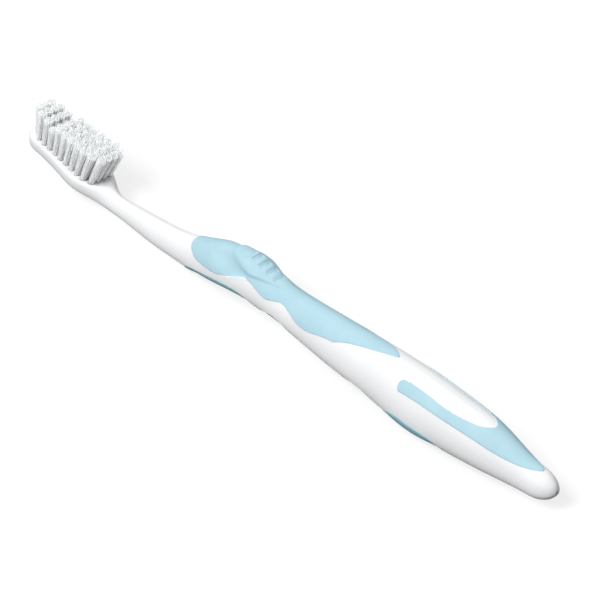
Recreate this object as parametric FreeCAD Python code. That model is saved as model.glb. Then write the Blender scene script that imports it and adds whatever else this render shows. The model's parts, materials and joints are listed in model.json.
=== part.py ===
import FreeCAD, Part
import math
import os
from collections import namedtuple
from FreeCAD import Placement, Rotation, Vector

# A manual toothbrush lying on its back, bristles up, in millimetres.
# +X runs from the head to the tail, +Z is up, and z = 0 is the surface that it rests on.
# Lengths along the handle start at the throat, where the head ends and the neck begins.

# Tuft columns, from the throat to the tip; wall is the plastic between two holes of a column, and
# tuft_gap is what stays open between the flared tops of two neighbours
Column = namedtuple("Column", "length tufts wall")
columns = [
    Column(length=11.2, tufts=4, wall=0.3),
    Column(length=11.1, tufts=4, wall=0.8),
    Column(length=10.7, tufts=4, wall=0.8),
    Column(length=10.5, tufts=4, wall=0.75),
    Column(length=10.4, tufts=4, wall=0.7),
    Column(length=10.2, tufts=4, wall=0.65),
    Column(length=10.2, tufts=4, wall=0.55),
    Column(length=7.8, tufts=4, wall=0.5),
    Column(length=9.1, tufts=4, wall=0.4),
    Column(length=9.7, tufts=4, wall=0.3),
    Column(length=10.1, tufts=2, wall=1.2),
]
hole_diameter = 1.6
hole_depth = 3.2
wall_between_columns = 0.8
tuft_gap = 0.1
tuft_dome = 0.35
throat_lean = 22.0
tip_lean = 6.0

# Anchor staples, one across the bottom of each hole
anchor_thickness = 0.25
anchor_height = 1.4
anchor_bite = 0.2
anchor_turn = 40.0
fold_thickness = 0.4

# Head
head_pitch = 7.7
plate_height_at_throat = 6.2
tip_margin = 4.0
throat_margin = 4.8
rim_at_throat = 1.2
rim_at_tip = 1.05
tip_thickness = 3.9
throat_thickness = 4.6
tip_round_length = 7.5
tip_bluntness = 0.5
plate_crown = 0.8
shoulder_length = 8.5
shoulder_half_width = 4.4

# Handle sections, from the throat to the tail
Section = namedtuple("Section", "along half_width top bottom")
handle_sections = [
    Section(along=0.0, half_width=2.8, top=6.1, bottom=0.9),
    Section(along=8.0, half_width=2.55, top=5.65, bottom=0.4),
    Section(along=20.0, half_width=3.25, top=6.7, bottom=0.03),
    Section(along=30.0, half_width=3.8, top=8.25, bottom=0.45),
    Section(along=40.0, half_width=4.95, top=11.6, bottom=1.4),
    Section(along=50.0, half_width=5.7, top=14.7, bottom=3.25),
    Section(along=56.0, half_width=5.5, top=14.8, bottom=3.95),
    Section(along=65.0, half_width=4.8, top=13.15, bottom=3.7),
    Section(along=75.0, half_width=4.95, top=12.95, bottom=2.9),
    Section(along=88.0, half_width=5.7, top=13.6, bottom=1.9),
    Section(along=103.0, half_width=6.45, top=14.4, bottom=1.15),
    Section(along=115.0, half_width=7.0, top=14.45, bottom=-0.2),
    Section(along=125.0, half_width=6.45, top=14.1, bottom=0.85),
    Section(along=135.0, half_width=5.5, top=13.1, bottom=1.75),
    Section(along=148.0, half_width=3.5, top=10.1, bottom=2.85),
]
tail_round_length = 6.5
tail_bluntness = 1.0
belly_fullness = 0.24
handle_squareness = 2.2
head_squareness = 3.2

# Soft pads
pad_depth = 1.2
pad_proud = 0.15

# Thumb pad: its outline from above is measured from its nose, then back from the tip of its tongue,
# and its wavy lower edge, seen from the side, from its nose
thumb_nose = 34.4
thumb_length = 71.2
thumb_nose_outline = [(0.4, 2.2), (2.1, 3.5), (5.0, 4.7), (11.6, 7.5), (31.6, 7.8)]
thumb_tongue_outline = [(25.6, 6.6), (15.6, 4.0), (8.6, 2.65), (2.0, 1.2)]
thumb_edge = [
    (-4.4, 7.3), (3.6, 7.4), (11.6, 8.1), (18.6, 10.0), (23.6, 11.5), (30.1, 9.7),
    (34.6, 10.65), (42.1, 8.9), (49.6, 10.0), (57.6, 11.0), (75.6, 11.0),
]

# Thumb platform with cross ribs, on the thumb pad: a leaf seen from above, whose outline is measured from
# its front, then back from its rear; rises are measured from the plastic and fade out towards the tail
platform_front = 49.8
platform_length = 24.2
platform_front_outline = [(0.7, 2.0), (3.7, 3.5), (7.6, 4.0)]
platform_rear_outline = [(13.0, 3.2), (9.0, 2.1), (4.0, 1.2)]
platform_rise = 0.95
platform_fade_start = 55.0
platform_fade_length = 20.0
platform_foot = 11.0
rib_count = 4
rib_pitch = 2.55
rib_width = 0.8
rib_rise = 1.3
rib_half_length = 1.5
rib_setback = 6.15

# Tail pad: a U round a bare window, with outlines measured back from their tips
tail_bare_length = 4.2
tail_end_length = 14.5
window_length = 25.6
tail_half_width = 5.5
window_half_width = 3.65
tail_outline = [(28.3, 5.2), (17.3, 4.55), (7.3, 2.9)]
window_outline = [(10.8, 3.5), (4.8, 2.8), (1.2, 1.55)]

# Back pad: its outline from below is measured from its nose, then back from its tail,
# and its edge, seen from the side, from the throat
back_nose = 30.0
back_bare_length = 21.5
back_nose_outline = [(2.0, 2.6), (10.0, 6.0), (30.0, 8.0)]
back_tail_outline = [(33.0, 9.0), (11.0, 7.0), (2.5, 3.0)]
back_edge = [
    (24.0, 2.4), (32.0, 2.6), (38.0, 4.2), (45.0, 6.1), (52.0, 7.4), (58.0, 6.9), (61.5, 5.5), (66.0, 6.5),
    (70.0, 6.1), (75.0, 3.9), (84.0, 3.0), (92.0, 3.2), (98.0, 4.7), (103.5, 3.2), (110.0, 4.8), (116.0, 4.9),
    (122.0, 4.7), (128.0, 3.2), (140.0, 3.0),
]

# Margin that only has to clear the body, and how finely round shapes are followed
clear = 20.0
section_points = 20
round_angles = (25.0, 45.0, 60.0, 72.0, 80.0)

# Worked out from the sizes above
hole_radius = hole_diameter / 2
tuft_collar = hole_radius * math.tan(math.radians(throat_lean))
column_pitch = hole_diameter + wall_between_columns
field_length = (len(columns) - 1) * column_pitch
pitch = math.radians(head_pitch)
head_length = tip_margin + field_length * math.cos(pitch) + throat_margin
handle_length = handle_sections[-1].along + tail_round_length
tail_apex = handle_length - tail_bare_length
window_apex = tail_apex - tail_end_length
tail_arm_start = window_apex - window_length
throat_x = head_length - (head_length + handle_length) / 2
tip_x = throat_x - head_length


def plate_height(x):
    """Height of the flat bristle plate, which rises from the throat towards the tip."""
    return plate_height_at_throat + (throat_x - x) * math.tan(pitch)


def section_wire(x, half_width, top, bottom, squareness, fullness):
    """Closed egg-shaped outline across the body, in two halves that meet at the bottom and the top."""
    middle = (top + bottom) / 2
    shape = []
    for index in range(section_points):
        angle = 2 * math.pi * index / section_points
        across = math.copysign(abs(math.sin(angle)) ** (2 / squareness), -math.sin(angle))
        upward = math.copysign(abs(math.cos(angle)) ** (2 / squareness), -math.cos(angle))
        shape.append((across * (1 + fullness * math.cos(angle)), upward))
    widest = max(across for across, upward in shape)
    points = [
        Vector(x, half_width * across / widest, middle + (top - bottom) / 2 * upward)
        for across, upward in shape
    ]
    curve = Part.BSplineCurve()
    even_steps = [index / section_points for index in range(section_points + 1)]
    curve.interpolate(Points=points, PeriodicFlag=True, Parameters=even_steps)
    return Part.Wire([curve.toShape(0, 0.5), curve.toShape(0.5, 1)])


def rounded_end(x, half_width, top, bottom, length, blunt):
    """Sections that close an end of the body in a quarter of an ellipse; length is signed."""
    middle = (top + bottom) / 2
    reach = length / math.sin(math.radians(round_angles[-1]))
    rows = []
    for angle in round_angles:
        share = math.cos(math.radians(angle))
        height = (top - bottom) / 2 * share ** blunt
        rows.append((
            x + reach * math.sin(math.radians(angle)),
            half_width * share,
            middle + height,
            middle - height,
        ))
    return rows


def tuft_across(column, row):
    """How far a tuft of a column stands from the middle of the head."""
    return (row - (column.tufts - 1) / 2) * (hole_diameter + column.wall)


def head_wires():
    """Outlines of the head, from its tip to just before the throat."""
    full_x = tip_x + tip_round_length
    shoulder_x = throat_x - shoulder_length
    wide_at_tip = rim_at_tip + hole_radius - tuft_across(columns[-2], 0)
    wide_at_throat = rim_at_throat + hole_radius - tuft_across(columns[1], 0)

    def body(x, half_width, crown):
        share = (x - tip_x) / (throat_x - tip_x)
        thickness = tip_thickness + (throat_thickness - tip_thickness) * share
        return x, half_width, plate_height(x) + crown, plate_height(x) - thickness

    full = body(full_x, wide_at_tip, plate_crown)
    rows = rounded_end(*full, -tip_round_length, tip_bluntness)[::-1]
    rows.append(full)
    rows.append(body((full_x + shoulder_x) / 2, (wide_at_tip + wide_at_throat) / 2, plate_crown))
    rows.append(body(shoulder_x, wide_at_throat, plate_crown))
    rows.append(body(throat_x - shoulder_length / 2, shoulder_half_width, plate_crown / 2))
    return [section_wire(*row, head_squareness, 0) for row in rows]


def even(amount):
    """Growth that is the same all along the handle."""
    return lambda along: amount


def fading(amount):
    """Growth that fades to nothing along the thumb platform, towards the tail."""
    return lambda along: amount * min(1, max(0, 1 - (along - platform_fade_start) / platform_fade_length))


def handle_wires(growth, first):
    """Outlines of the handle from one of its sections to the tail, grown or shrunk all round."""
    rows = []
    for row in handle_sections[first:]:
        grow = growth(row.along)
        rows.append((throat_x + row.along, row.half_width + grow, row.top + grow, row.bottom - grow))
    rows += rounded_end(*rows[-1], tail_round_length + growth(handle_length), tail_bluntness)
    return [section_wire(*row, handle_squareness, belly_fullness) for row in rows]


def loft(wires):
    """Smooth solid through a run of outlines."""
    return Part.makeLoft(wires, True, False)


def smooth_edge(points, closed=False):
    """One smooth curve through points."""
    curve = Part.BSplineCurve()
    curve.interpolate(Points=points, PeriodicFlag=closed)
    return curve.toShape()


def mirrored_outline(front, front_outline, rear, rear_outline):
    """Smooth closed outline seen from above, the same on both sides, from its two ends' own points."""
    half = [(front + along, across) for along, across in front_outline]
    half += [(rear - along, across) for along, across in rear_outline]
    far = [Vector(throat_x + along, across, 0) for along, across in half]
    near = [Vector(point.x, -point.y, 0) for point in far]
    rear_end = Vector(throat_x + rear, 0, 0)
    front_end = Vector(throat_x + front, 0, 0)
    return Part.Wire(smooth_edge([rear_end] + far[::-1] + [front_end] + near, closed=True))


def upright_prism(wire, low, high):
    """Solid that stands on an outline seen from above."""
    base = Part.Face(wire)
    base.translate(Vector(0, 0, low))
    return base.extrude(Vector(0, 0, high - low))


def side_prism(edge_points, cap):
    """Solid right across the handle, between an edge seen from the side and a level above or below it."""
    points = [Vector(throat_x + along, -clear, height) for along, height in edge_points]
    rear = Vector(points[-1].x, -clear, cap)
    front = Vector(points[0].x, -clear, cap)
    closing = Part.makePolygon([points[-1], rear, front, points[0]])
    wire = Part.Wire([smooth_edge(points)] + closing.Edges)
    return Part.Face(wire).extrude(Vector(0, 2 * clear, 0))


def ground():
    """Everything under the surface that the brush rests on."""
    length = head_length + handle_length + 2 * clear
    return Part.makeBox(length, 2 * clear, clear, Vector(tip_x - clear, -clear, -clear))


def above_plate():
    """Everything over the bristle plate, as far as the throat."""
    tip_point = Vector(tip_x - clear, -clear, plate_height(tip_x - clear))
    throat_point = Vector(throat_x, -clear, plate_height(throat_x))
    top_level = plate_height(tip_x - clear) + clear
    corners = [
        tip_point,
        throat_point,
        Vector(throat_x, -clear, top_level),
        Vector(tip_x - clear, -clear, top_level),
        tip_point,
    ]
    return Part.Face(Part.makePolygon(corners)).extrude(Vector(0, 2 * clear, 0))


def thumb_region():
    """Where the thumb pad lies: inside its outline from above and over its wavy edge."""
    tongue_tip = thumb_nose + thumb_length
    outline = mirrored_outline(thumb_nose, thumb_nose_outline, tongue_tip, thumb_tongue_outline)
    edge = [(thumb_nose + along, height) for along, height in thumb_edge]
    return upright_prism(outline, 0, clear).common(side_prism(edge, clear))


def back_region():
    """Where the back pad lies: inside its outline from below and under its edge."""
    tail = handle_length - back_bare_length
    outline = mirrored_outline(back_nose, back_nose_outline, tail, back_tail_outline)
    return upright_prism(outline, -clear, clear).common(side_prism(back_edge, -clear))


def tail_region():
    """Where the tail pad lies: a U with round arm ends, seen from above."""
    arm_round = (tail_half_width - window_half_width) / 2
    arm_x = tail_arm_start + arm_round

    def limb(half_outline, half_width, apex):
        points = [(arm_x, half_width)] + [(apex - along, across) for along, across in half_outline]
        far = [Vector(throat_x + along, across, 0) for along, across in points]
        near = [Vector(point.x, -point.y, 0) for point in far]
        return smooth_edge(far + [Vector(throat_x + apex, 0, 0)] + near[::-1])

    def arm_end(side):
        start = Vector(throat_x + arm_x, side * tail_half_width, 0)
        middle = Vector(throat_x + tail_arm_start, side * (tail_half_width - arm_round), 0)
        end = Vector(throat_x + arm_x, side * window_half_width, 0)
        return Part.Arc(start, middle, end).toShape()

    outline = Part.Wire([
        limb(tail_outline, tail_half_width, tail_apex),
        arm_end(-1),
        limb(window_outline, window_half_width, window_apex),
        arm_end(1),
    ])
    last = handle_sections[-1]
    return upright_prism(outline, (last.top + last.bottom) / 2, clear)


def thumb_platform():
    """Island for the thumb, whose top and cross ribs follow the body."""
    rear = platform_front + platform_length
    outline = mirrored_outline(platform_front, platform_front_outline, rear, platform_rear_outline)
    platform_top = loft(handle_wires(fading(platform_rise), 1))
    island = upright_prism(outline, platform_foot, clear).common(platform_top)
    rib_top = loft(handle_wires(fading(rib_rise), 1))
    ribs = []
    for index in range(rib_count):
        front = throat_x + platform_front + rib_setback + index * rib_pitch - rib_width / 2
        corner = Vector(front, -rib_half_length, platform_foot)
        bar = Part.makeBox(rib_width, 2 * rib_half_length, clear, corner)
        ribs.append(bar.common(rib_top))
    return island.multiFuse(ribs)


def tuft_place(number, row):
    """Placement of one tuft: its foot on the bristle plate, its axis along local Z."""
    x = throat_x - throat_margin - number * column_pitch * math.cos(pitch)
    share = number / (len(columns) - 1)
    lean = head_pitch + throat_lean + (tip_lean - throat_lean) * share
    foot = Vector(x, tuft_across(columns[number], row), plate_height(x))
    return Placement(foot, Rotation(Vector(0, 1, 0), lean))


def anchor_blank():
    """One flat staple, lying across the hole a fold above its bottom."""
    width = hole_diameter + 2 * anchor_bite
    corner = Vector(-width / 2, -anchor_thickness / 2, fold_thickness - hole_depth)
    blank = Part.makeBox(width, anchor_thickness, anchor_height, corner)
    blank.rotate(Vector(0, 0, 0), Vector(0, 0, 1), anchor_turn)
    return blank


def hole_blank():
    """One blind hole, open above the plate."""
    return Part.makeCylinder(hole_radius, hole_depth + hole_diameter, Vector(0, 0, -hole_depth))


def tuft_blank(column):
    """One bundle of filaments: its folded root in the hole and its flared, domed free end."""
    root = Part.makeCylinder(hole_radius, hole_depth + tuft_collar, Vector(0, 0, -hole_depth))
    free_length = column.length - tuft_collar
    flare = min(column.wall, wall_between_columns) - tuft_gap
    brush = Part.makeCone(hole_radius, hole_radius + flare / 2, free_length, Vector(0, 0, tuft_collar))
    top_edges = [edge for edge in brush.Edges if edge.BoundBox.ZMin > column.length / 2]
    brush = brush.makeFillet(tuft_dome, top_edges)
    return root.fuse(brush).cut(anchor_blank()).removeSplitter()


def placed(shape, place):
    """Copy of a shape at a placement."""
    copy = shape.copy()
    copy.Placement = place.multiply(copy.Placement)
    return copy


def main():
    os.makedirs("parts", exist_ok=True)
    outer = loft(handle_wires(even(pad_proud), 1))
    inner = loft(handle_wires(even(-pad_depth), 1))
    shell = outer.cut(inner)
    thumb = shell.common(thumb_region())
    thumb = thumb.fuse(thumb_platform().cut(inner)).removeSplitter()
    tail = shell.common(tail_region())
    back_recess = shell.common(back_region())

    core = loft(head_wires() + handle_wires(even(0), 0)).cut(above_plate())
    core = core.cut([thumb, tail, back_recess])

    nodes = {"thumb_grip": thumb, "tail_grip": tail, "back_grip": back_recess.cut(ground())}
    holes = []
    anchors = []
    for number, column in enumerate(columns):
        blank = tuft_blank(column)
        for row in range(column.tufts):
            place = tuft_place(number, row)
            holes.append(placed(hole_blank(), place))
            anchors.append(placed(anchor_blank(), place))
            nodes["tuft_column_%02d_row_%d" % (number + 1, row + 1)] = placed(blank, place)
    core = core.cut(holes).cut(anchors)
    nodes["handle_core"] = core
    nodes["tuft_anchors"] = Part.makeCompound(anchors)

    for name, shape in nodes.items():
        shape.exportStep("parts/%s.step" % name)
        print(name, "solids", len(shape.Solids), "valid", shape.isValid(), "volume %.2f" % shape.Volume)


main()
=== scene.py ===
"""Looks of a manual toothbrush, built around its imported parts, in metres."""

import json
import math
import random
from collections import namedtuple

import bpy
import numpy as np
from mathutils import Matrix, Vector

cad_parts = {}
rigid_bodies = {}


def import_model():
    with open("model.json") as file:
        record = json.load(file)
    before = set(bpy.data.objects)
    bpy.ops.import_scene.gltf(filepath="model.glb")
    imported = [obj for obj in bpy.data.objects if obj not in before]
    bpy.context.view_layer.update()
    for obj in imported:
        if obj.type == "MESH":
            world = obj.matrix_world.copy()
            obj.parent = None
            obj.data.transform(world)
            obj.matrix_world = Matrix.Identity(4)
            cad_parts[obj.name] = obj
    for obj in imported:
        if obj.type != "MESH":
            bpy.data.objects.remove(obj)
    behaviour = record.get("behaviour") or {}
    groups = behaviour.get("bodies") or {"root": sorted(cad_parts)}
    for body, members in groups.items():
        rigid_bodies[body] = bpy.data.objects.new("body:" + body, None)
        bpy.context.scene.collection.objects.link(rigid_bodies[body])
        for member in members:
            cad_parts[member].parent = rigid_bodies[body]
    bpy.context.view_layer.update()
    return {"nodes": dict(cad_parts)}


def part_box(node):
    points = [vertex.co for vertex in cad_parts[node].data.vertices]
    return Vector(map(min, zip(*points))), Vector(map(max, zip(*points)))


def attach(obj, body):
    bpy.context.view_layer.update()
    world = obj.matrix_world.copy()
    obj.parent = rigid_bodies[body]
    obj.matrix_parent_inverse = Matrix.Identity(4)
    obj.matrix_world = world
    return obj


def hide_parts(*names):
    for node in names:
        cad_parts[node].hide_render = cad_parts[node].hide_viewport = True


MM = 0.001

# Camera, as fitted to the photograph
IMAGE_SIZE = 600
SENSOR_WIDTH = 36.0
FOCAL_PIXELS = 2325.0
CAMERA_TARGET = Vector((5.02, 5.33, 5.52)) * MM
CAMERA_DISTANCE = 550 * MM
CAMERA_AZIMUTH = math.radians(48.45)
CAMERA_ELEVATION = math.radians(36.37)
CAMERA_ROLL = math.radians(0.34)

# Bristles: filaments start in the tuft's hole, and bow out from the plate to their scattered tips
HOLE_DEPTH = 3.2 * MM
ROOT_DEPTH = 1.2 * MM
FILAMENTS_PER_TUFT = 64
FILAMENT_RADIUS = 0.09 * MM
FOOT_RADIUS = 0.68 * MM
TIP_SPREAD = 0.32 * MM
TIP_SCATTER = 0.08 * MM
TRIM_MARGIN = 0.15 * MM
TRIM_SCATTER = 0.25 * MM
FILAMENT_SIDES = 6
FILAMENT_RINGS = 6
FILAMENT_BOW = 0.6
GOLDEN_ANGLE = math.pi * (3 - math.sqrt(5))
BRISTLE_SEED = 7

# Light: bounces among the filaments, a soft lamp in front and a weak one behind,
# a dome that is dim at the horizon, the white backdrop that is seen instead of it, and the floor
LIGHT_BOUNCES = 24
LAMP_PLACE = (0.0, -0.68, 0.76)
LAMP_SIZE = 0.5
LAMP_POWER = 9.2
BACK_LAMP_PLACE = (-0.1, 0.85, 0.5)
BACK_LAMP_POWER = 1.8
DOME_HORIZON = 0.1
DOME_TOP = 0.44
BACKDROP = (1, 1, 1, 1)
BACKDROP_STRENGTH = 1
FLOOR_BOUNCE = (0.06, 0.06, 0.06, 1)
FLOOR_SHOWN = (0.35, 0.35, 0.35, 1)
FLOOR_GLOW = 0.72
FLOOR_HALF = 3.0

# Soft pads: how finely each one is followed, and how much its edges are softened
BACK_PAD_VOXEL = 0.25 * MM
TAIL_PAD_VOXEL = 0.13 * MM
THUMB_PAD_VOXEL = 0.16 * MM
PAD_SMOOTHING = 2

# Relief of the pads, in millimetres. Lines run behind the pad's nose and off its middle, on both sides.
# A dent goes in towards the handle's axis, whole on skin that faces outwards and fading to none on skin
# that faces the core
Dent = namedtuple("Dent", "line reach front_reach depth")
Softening = namedtuple("Softening", "line reach iterations")
HANDLE_AXIS_HEIGHT = 8.8
INNER_FACING = -0.4
OUTER_FACING = 0.2

# Back pad: its flanks lie deeper than those of its solid
FLANK = Dent(
    line=[
        (11.0, 3.8), (20.0, 4.2), (26.0, 4.1), (35.0, 3.6), (45.0, 3.7),
        (58.0, 4.2), (73.0, 4.8), (85.0, 5.2), (95.0, 4.8), (105.0, 4.1),
    ],
    reach=2.2,
    front_reach=9.0,
    depth=0.6,
)

# Thumb pad: a hollow beside the platform, a lower crown at the platform's front, which runs out softly
# into the pad, softened creases at the platform's sides, and grooves before, between and behind its ribs
HOLLOW = Dent(
    line=[(14.6, 3.6), (16.2, 4.4), (18.6, 5.0), (22.0, 5.2)],
    reach=2.3,
    front_reach=5.5,
    depth=0.85,
)
CROWN = Dent(line=[(18.0, 0.0), (18.5, 2.0)], reach=4.0, front_reach=3.0, depth=0.45)
FRONT = Softening(line=[(15.6, 0.0), (16.1, 2.0), (18.6, 3.4)], reach=2.6, iterations=200)
CREASE = Softening(line=[(19.1, 3.5), (23.0, 4.0), (26.6, 3.2), (30.0, 2.1)], reach=1.5, iterations=20)
GROOVE_START = 20.3
GROOVE_PITCH = 2.55
GROOVE_COUNT = 5
GROOVE_HALF_LENGTH = 1.2
GROOVE_REACH = 0.75
GROOVE_DEPTH = 0.25

# Colours, as linear values, and where along a texture they run from the low shade to the high one
WHITE_LOW = (0.90, 0.91, 0.925, 1)
WHITE_HIGH = (0.94, 0.945, 0.955, 1)
GRIP_LOW = (0.45, 0.68, 0.775, 1)
GRIP_HIGH = (0.495, 0.725, 0.815, 1)
# Back pad: the same rubber as the other pads, darkened as painted shade for the shade that falls along its
# flanks
BACK_GRIP_PAINTED_SHADE_LOW = (0.28, 0.53, 0.60, 1)
BACK_GRIP_PAINTED_SHADE_HIGH = (0.32, 0.57, 0.64, 1)
BRISTLE_LOW = (0.92, 0.93, 0.935, 1)
BRISTLE_HIGH = (0.97, 0.975, 0.98, 1)
BRISTLE_GLOW = (0.985, 0.99, 0.99, 1)
BRASS_LOW = (0.50, 0.36, 0.14, 1)
BRASS_HIGH = (0.66, 0.50, 0.22, 1)
SHADE_START = 0.3
SHADE_END = 0.7

# Surfaces: textures, roughness from low to high, the shine of the plastic and the rubber, and fine relief
Texture = namedtuple("Texture", "scale detail")
Relief = namedtuple("Relief", "strength depth")
WHITE_FLOW = Texture(scale=90, detail=2)
WHITE_SKIN = Texture(scale=2600, detail=2)
WHITE_ROUGHNESS = (0.35, 0.45)
WHITE_SHINE = 0.1
WHITE_RELIEF = Relief(strength=0.06, depth=0.05 * MM)
GRIP_CLOUD = Texture(scale=140, detail=3)
GRIP_GRAIN = Texture(scale=4200, detail=3)
GRIP_ROUGHNESS = (0.6, 0.7)
GRIP_SHINE = 0.05
GRIP_RELIEF = Relief(strength=0.15, depth=0.05 * MM)
BRISTLE_STRAND = Texture(scale=900, detail=1)
BRISTLE_ROUGHNESS = (0.25, 0.4)
BRISTLE_RELIEF = Relief(strength=0.1, depth=0.02 * MM)
BRISTLE_TRANSLUCENCY = 0.75
BRASS_TARNISH = Texture(scale=1500, detail=3)
BRASS_ROUGHNESS = (0.3, 0.5)
BRASS_RELIEF = Relief(strength=0.2, depth=0.02 * MM)


def new_material(name):
    """Material with nodes, which starts with the main shader and the output."""
    material = bpy.data.materials.new(name)
    material.use_nodes = True
    return material


def tree_of(material):
    """A material's nodes and links."""
    return material.node_tree.nodes, material.node_tree.links


def main_shader(material):
    """The shader that a material starts with."""
    return material.node_tree.nodes["Principled BSDF"]


def noise(material, kind):
    """Noise texture in the object's own metres."""
    nodes, links = tree_of(material)
    place = nodes.new("ShaderNodeTexCoord")
    texture = nodes.new("ShaderNodeTexNoise")
    texture.inputs["Scale"].default_value = kind.scale
    texture.inputs["Detail"].default_value = kind.detail
    links.new(place.outputs["Object"], texture.inputs["Vector"])
    return texture.outputs["Fac"]


def vary_colour(material, source, low, high):
    """Base colour between two shades, driven by a texture."""
    nodes, links = tree_of(material)
    ramp = nodes.new("ShaderNodeValToRGB")
    first, second = ramp.color_ramp.elements
    first.position = SHADE_START
    first.color = low
    second.position = SHADE_END
    second.color = high
    links.new(source, ramp.inputs["Fac"])
    links.new(ramp.outputs["Color"], main_shader(material).inputs["Base Color"])


def vary_roughness(material, source, roughness):
    """Roughness from its lowest to its highest value, driven by a texture."""
    nodes, links = tree_of(material)
    low, high = roughness
    spread = nodes.new("ShaderNodeMapRange")
    spread.inputs["To Min"].default_value = low
    spread.inputs["To Max"].default_value = high
    links.new(source, spread.inputs["Value"])
    links.new(spread.outputs["Result"], main_shader(material).inputs["Roughness"])


def add_bump(material, source, relief):
    """Fine relief from a texture."""
    nodes, links = tree_of(material)
    bump = nodes.new("ShaderNodeBump")
    bump.inputs["Strength"].default_value = relief.strength
    bump.inputs["Distance"].default_value = relief.depth
    links.new(source, bump.inputs["Height"])
    links.new(bump.outputs["Normal"], main_shader(material).inputs["Normal"])


def white_plastic():
    """Smooth moulded plastic with a faint flow in its colour."""
    material = new_material("white_plastic")
    main_shader(material).inputs["Specular IOR Level"].default_value = WHITE_SHINE
    flow = noise(material, WHITE_FLOW)
    vary_colour(material, flow, WHITE_LOW, WHITE_HIGH)
    vary_roughness(material, flow, WHITE_ROUGHNESS)
    add_bump(material, noise(material, WHITE_SKIN), WHITE_RELIEF)
    return material


def soft_grip(name, low, high):
    """Satin rubber with a fine grain, between two shades."""
    material = new_material(name)
    main_shader(material).inputs["Specular IOR Level"].default_value = GRIP_SHINE
    cloud = noise(material, GRIP_CLOUD)
    vary_colour(material, cloud, low, high)
    vary_roughness(material, cloud, GRIP_ROUGHNESS)
    add_bump(material, noise(material, GRIP_GRAIN), GRIP_RELIEF)
    return material


def bristle():
    """Translucent nylon filament."""
    material = new_material("bristle")
    strand = noise(material, BRISTLE_STRAND)
    vary_colour(material, strand, BRISTLE_LOW, BRISTLE_HIGH)
    vary_roughness(material, strand, BRISTLE_ROUGHNESS)
    add_bump(material, strand, BRISTLE_RELIEF)
    nodes, links = tree_of(material)
    inner = nodes.new("ShaderNodeBsdfTranslucent")
    inner.inputs["Color"].default_value = BRISTLE_GLOW
    mix = nodes.new("ShaderNodeMixShader")
    mix.inputs["Fac"].default_value = BRISTLE_TRANSLUCENCY
    links.new(main_shader(material).outputs[0], mix.inputs[1])
    links.new(inner.outputs[0], mix.inputs[2])
    links.new(mix.outputs[0], nodes["Material Output"].inputs["Surface"])
    return material


def anchor_metal():
    """Rolled brass strip."""
    material = new_material("anchor_metal")
    main_shader(material).inputs["Metallic"].default_value = 1
    tarnish = noise(material, BRASS_TARNISH)
    vary_colour(material, tarnish, BRASS_LOW, BRASS_HIGH)
    vary_roughness(material, tarnish, BRASS_ROUGHNESS)
    add_bump(material, tarnish, BRASS_RELIEF)
    return material


def paint(piece, material):
    """Gives an object one material."""
    piece.data.materials.clear()
    piece.data.materials.append(material)


def add_object(name, data):
    """New object in the scene."""
    added = bpy.data.objects.new(name, data)
    bpy.context.scene.collection.objects.link(added)
    return added


def tuft_axis(node):
    """Bottom, direction, length and widest radius of a tuft, read from its long, upright solid."""
    points = np.array([vertex.co for vertex in node.data.vertices])
    middle = points.mean(0)
    directions = np.linalg.eigh(np.cov((points - middle).T))[1]
    axis = directions[:, 2] * np.sign(directions[2, 2])
    reach = (points - middle) @ axis
    radius = np.linalg.norm(points - middle - np.outer(reach, axis), axis=1).max()
    return Vector(middle + axis * reach.min()), Vector(axis), reach.max() - reach.min(), radius


def add_filament(vertices, faces, foot, rise, splay):
    """One round-ended filament: a tube that rises from its foot and bows outwards by its splay."""
    start = len(vertices)
    axis = rise.normalized()
    side = axis.orthogonal().normalized()
    other = axis.cross(side)
    straight = rise - axis * FILAMENT_RADIUS
    held = ROOT_DEPTH / straight.length
    centres = [(foot, FILAMENT_RADIUS)]
    for ring in range(FILAMENT_RINGS):
        free = ring / (FILAMENT_RINGS - 1)
        centre = foot + straight * (held + (1 - held) * free) + splay * free ** FILAMENT_BOW
        centres.append((centre, FILAMENT_RADIUS))
    shoulder = math.sqrt(0.5) * FILAMENT_RADIUS
    centres.append((centres[-1][0] + axis * shoulder, shoulder))
    for centre, radius in centres:
        for corner in range(FILAMENT_SIDES):
            angle = 2 * math.pi * corner / FILAMENT_SIDES
            vertices.append(centre + (side * math.cos(angle) + other * math.sin(angle)) * radius)
    vertices.append(foot + rise + splay)
    for ring in range(len(centres) - 1):
        for corner in range(FILAMENT_SIDES):
            following = (corner + 1) % FILAMENT_SIDES
            low = start + ring * FILAMENT_SIDES
            high = low + FILAMENT_SIDES
            faces.append((low + corner, low + following, high + following, high + corner))
    last = start + (len(centres) - 1) * FILAMENT_SIDES
    for corner in range(FILAMENT_SIDES):
        faces.append((last + corner, last + (corner + 1) % FILAMENT_SIDES, len(vertices) - 1))
    faces.append(tuple(start + corner for corner in reversed(range(FILAMENT_SIDES))))


def bristle_bundle(name, node, material, chance):
    """Bundle of filaments, evenly spread on a spiral, that stands for one tuft."""
    bottom, axis, length, radius = tuft_axis(node)
    spread = radius + TIP_SPREAD - FILAMENT_RADIUS - FOOT_RADIUS
    root = HOLE_DEPTH - ROOT_DEPTH
    side = axis.orthogonal().normalized()
    other = axis.cross(side)
    vertices, faces = [], []
    for number in range(FILAMENTS_PER_TUFT):
        angle = number * GOLDEN_ANGLE
        share = math.sqrt((number + 0.5) / FILAMENTS_PER_TUFT)
        outward = side * math.cos(angle) + other * math.sin(angle)
        stray = side * chance.gauss(0, TIP_SCATTER) + other * chance.gauss(0, TIP_SCATTER)
        foot = bottom + axis * root + outward * FOOT_RADIUS * share
        rise = axis * (length - root - TRIM_MARGIN - TRIM_SCATTER * chance.random())
        add_filament(vertices, faces, foot, rise, outward * spread * share + stray)
    mesh = bpy.data.meshes.new(name)
    mesh.from_pydata(vertices, [], faces)
    mesh.polygons.foreach_set("use_smooth", [True] * len(mesh.polygons))
    bundle = add_object(name, mesh)
    paint(bundle, material)
    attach(bundle, "root")
    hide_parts(node.name)


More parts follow.
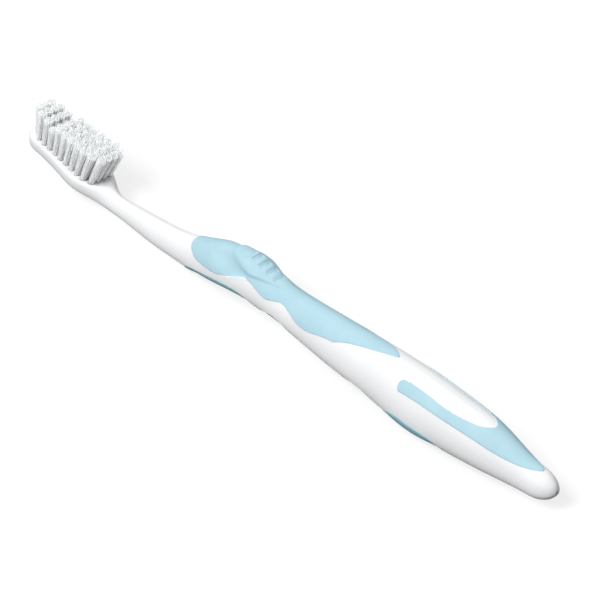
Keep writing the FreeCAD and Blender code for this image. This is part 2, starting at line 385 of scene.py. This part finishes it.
def add_bristles(nodes_by_name):
    """A bundle of filaments for each tuft."""
    nylon = bristle()
    chance = random.Random(BRISTLE_SEED)
    for node_name in sorted(nodes_by_name):
        if node_name.startswith("tuft_column"):
            bundle_name = node_name.replace("tuft", "bristles")
            bristle_bundle(bundle_name, nodes_by_name[node_name], nylon, chance)


def apply_modifiers(piece):
    """Turns an object's modifiers into its mesh."""
    shaped = piece.evaluated_get(bpy.context.evaluated_depsgraph_get())
    finished = bpy.data.meshes.new_from_object(shaped)
    piece.modifiers.clear()
    piece.data = finished


def soft_pad(node, material, voxel):
    """Pad with softened edges, made from its solid, which it stands for."""
    pad = add_object(node.name + "_soft", node.data.copy())
    even = pad.modifiers.new("even", "REMESH")
    even.mode = "VOXEL"
    even.voxel_size = voxel
    even.use_smooth_shade = True
    soften = pad.modifiers.new("soften", "SMOOTH")
    soften.iterations = PAD_SMOOTHING
    apply_modifiers(pad)
    paint(pad, material)
    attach(pad, "root")
    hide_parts(node.name)
    return pad


def nearest_distance(points, line):
    """Distance of flat points from a run of straight lines."""
    nearest = np.full(len(points), np.inf)
    for start, end in zip(line, line[1:]):
        span = end - start
        share = np.clip((points - start) @ span / (span @ span), 0, 1)
        nearest = np.minimum(nearest, np.linalg.norm(points - start - np.outer(share, span), axis=1))
    return nearest


def closeness(places, line, reach):
    """One on a line, falling smoothly to none at its reach."""
    return np.clip(1 - (nearest_distance(places, line) / reach) ** 2, 0, 1) ** 2


def vertex_values(pad, name):
    """One of the vectors that a pad's vertices hold, as rows."""
    values = np.empty(len(pad.data.vertices) * 3)
    pad.data.vertices.foreach_get(name, values)
    return values.reshape(-1, 3)


def pad_points(pad, nose):
    """Vertices of a pad in millimetres, and their places behind its nose and off its middle."""
    points = vertex_values(pad, "co") / MM
    return points, np.column_stack((points[:, 0] - nose / MM, abs(points[:, 1])))


def press(pad, nose, dent):
    """Presses the pad's outer skin in along a line and its mirror image.

    The slope ahead of the line's start has a reach of its own.
    """
    line = np.array(dent.line)
    points, places = pad_points(pad, nose)
    ahead = np.minimum(0, places[:, 0] - line[0, 0])
    places[:, 0] -= ahead * (1 - dent.reach / dent.front_reach)
    outward = points - np.array((0, 0, HANDLE_AXIS_HEIGHT))
    outward[:, 0] = 0
    outward /= np.linalg.norm(outward, axis=1)[:, None]
    facing = (vertex_values(pad, "normal") * outward).sum(1)
    skin = np.clip((facing - INNER_FACING) / (OUTER_FACING - INNER_FACING), 0, 1)
    points -= outward * (dent.depth * skin * closeness(places, line, dent.reach))[:, None]
    pad.data.vertices.foreach_set("co", (points * MM).ravel())
    pad.data.update()


def soften_along(pad, nose, softening):
    """Smooths the pad near a line and its mirror image."""
    places = pad_points(pad, nose)[1]
    weights = closeness(places, np.array(softening.line), softening.reach)
    group = pad.vertex_groups.new(name="soften")
    for index in np.flatnonzero(weights):
        group.add([int(index)], weights[index], "REPLACE")
    smooth = pad.modifiers.new("soften", "SMOOTH")
    smooth.iterations = softening.iterations
    smooth.vertex_group = group.name
    apply_modifiers(pad)
    pad.vertex_groups.clear()


def add_back_pad(node, material):
    """Back pad with its flanks pressed in."""
    pad = soft_pad(node, material, BACK_PAD_VOXEL)
    press(pad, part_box("back_grip")[0][0], FLANK)


def add_thumb_pad(node, material):
    """Thumb pad with the relief round its platform and its ribs."""
    pad = soft_pad(node, material, THUMB_PAD_VOXEL)
    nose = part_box("thumb_grip")[0][0]
    press(pad, nose, HOLLOW)
    press(pad, nose, CROWN)
    soften_along(pad, nose, FRONT)
    soften_along(pad, nose, CREASE)
    for groove in range(GROOVE_COUNT):
        place = GROOVE_START + groove * GROOVE_PITCH
        across = [(place, 0.0), (place, GROOVE_HALF_LENGTH)]
        press(pad, nose, Dent(across, GROOVE_REACH, GROOVE_REACH, GROOVE_DEPTH))


def add_camera():
    """Camera at the photograph's viewing angle."""
    data = bpy.data.cameras.new("camera")
    data.sensor_width = SENSOR_WIDTH
    data.lens = FOCAL_PIXELS / IMAGE_SIZE * SENSOR_WIDTH
    camera = add_object("camera", data)
    flat = math.cos(CAMERA_ELEVATION)
    back = Vector((
        flat * math.sin(CAMERA_AZIMUTH),
        -flat * math.cos(CAMERA_AZIMUTH),
        math.sin(CAMERA_ELEVATION),
    ))
    turn = back.to_track_quat("Z", "Y").to_matrix().to_4x4()
    roll = Matrix.Rotation(CAMERA_ROLL, 4, "Z")
    camera.matrix_world = Matrix.Translation(CAMERA_TARGET + back * CAMERA_DISTANCE) @ turn @ roll
    bpy.context.scene.camera = camera


def add_lamp(name, place, power):
    """Soft square lamp that looks at the brush."""
    data = bpy.data.lights.new(name, "AREA")
    data.size = LAMP_SIZE
    data.energy = power
    lamp = add_object(name, data)
    lamp.location = place
    lamp.rotation_euler = (-Vector(place)).to_track_quat("-Z", "Y").to_euler()


def seen_directly(nodes, links):
    """One for camera, glossy and transmission rays, and none for the light that reaches the brush."""
    path = nodes.new("ShaderNodeLightPath")
    either = nodes.new("ShaderNodeMath")
    either.operation = "MAXIMUM"
    links.new(path.outputs["Is Camera Ray"], either.inputs[0])
    links.new(path.outputs["Is Glossy Ray"], either.inputs[1])
    any_ray = nodes.new("ShaderNodeMath")
    any_ray.operation = "MAXIMUM"
    links.new(either.outputs[0], any_ray.inputs[0])
    links.new(path.outputs["Is Transmission Ray"], any_ray.inputs[1])
    return any_ray.outputs[0]


def add_world():
    """White backdrop; its light on the brush is a soft dome, brightest overhead."""
    world = bpy.data.worlds.new("studio")
    bpy.context.scene.world = world
    world.use_nodes = True
    nodes, links = world.node_tree.nodes, world.node_tree.links
    place = nodes.new("ShaderNodeTexCoord")
    split = nodes.new("ShaderNodeSeparateXYZ")
    links.new(place.outputs["Generated"], split.inputs[0])
    dome = nodes.new("ShaderNodeMapRange")
    dome.inputs["To Min"].default_value = DOME_HORIZON
    dome.inputs["To Max"].default_value = DOME_TOP
    links.new(split.outputs["Z"], dome.inputs["Value"])
    strength = nodes.new("ShaderNodeMix")
    links.new(seen_directly(nodes, links), strength.inputs["Factor"])
    links.new(dome.outputs["Result"], strength.inputs["A"])
    strength.inputs["B"].default_value = BACKDROP_STRENGTH
    background = nodes["Background"]
    background.inputs["Color"].default_value = BACKDROP
    links.new(strength.outputs["Result"], background.inputs["Strength"])


def floor_paint():
    """Dark grey to the light that reaches the brush, and lit grey with a glow where it is seen directly."""
    material = new_material("floor")
    nodes, links = tree_of(material)
    nodes.remove(main_shader(material))
    grey = nodes.new("ShaderNodeBsdfDiffuse")
    grey.inputs["Color"].default_value = FLOOR_BOUNCE
    lit = nodes.new("ShaderNodeBsdfDiffuse")
    lit.inputs["Color"].default_value = FLOOR_SHOWN
    glow = nodes.new("ShaderNodeEmission")
    glow.inputs["Strength"].default_value = FLOOR_GLOW
    shown = nodes.new("ShaderNodeAddShader")
    links.new(lit.outputs[0], shown.inputs[0])
    links.new(glow.outputs[0], shown.inputs[1])
    mix = nodes.new("ShaderNodeMixShader")
    links.new(seen_directly(nodes, links), mix.inputs["Fac"])
    links.new(grey.outputs[0], mix.inputs[1])
    links.new(shown.outputs[0], mix.inputs[2])
    links.new(mix.outputs[0], nodes["Material Output"].inputs["Surface"])
    return material


def add_floor():
    """Pale floor: white where it is seen, apart from the brush's soft shadow."""
    mesh = bpy.data.meshes.new("floor")
    signs = [(-1, -1), (1, -1), (1, 1), (-1, 1)]
    corners = [(x * FLOOR_HALF, y * FLOOR_HALF, 0) for x, y in signs]
    mesh.from_pydata(corners, [], [(0, 1, 2, 3)])
    floor = add_object("floor", mesh)
    paint(floor, floor_paint())


for leftover in list(bpy.data.objects):
    bpy.data.objects.remove(leftover)
bpy.context.scene.view_settings.view_transform = "Standard"
bpy.context.scene.cycles.diffuse_bounces = LIGHT_BOUNCES
bpy.context.scene.cycles.max_bounces = LIGHT_BOUNCES

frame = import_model()

parts = frame["nodes"]
rubber = soft_grip("soft_grip", GRIP_LOW, GRIP_HIGH)
# The back pad gets a darker copy of the same rubber: painted shade
back_rubber_painted_shade = soft_grip("back_soft_grip_painted_shade", BACK_GRIP_PAINTED_SHADE_LOW, BACK_GRIP_PAINTED_SHADE_HIGH)
paint(parts["handle_core"], white_plastic())
paint(parts["tuft_anchors"], anchor_metal())
soft_pad(parts["tail_grip"], rubber, TAIL_PAD_VOXEL)
add_back_pad(parts["back_grip"], back_rubber_painted_shade)
add_thumb_pad(parts["thumb_grip"], rubber)
add_bristles(parts)

add_camera()
add_world()
add_lamp("key_lamp", LAMP_PLACE, LAMP_POWER)
add_lamp("back_lamp", BACK_LAMP_PLACE, BACK_LAMP_POWER)
add_floor()
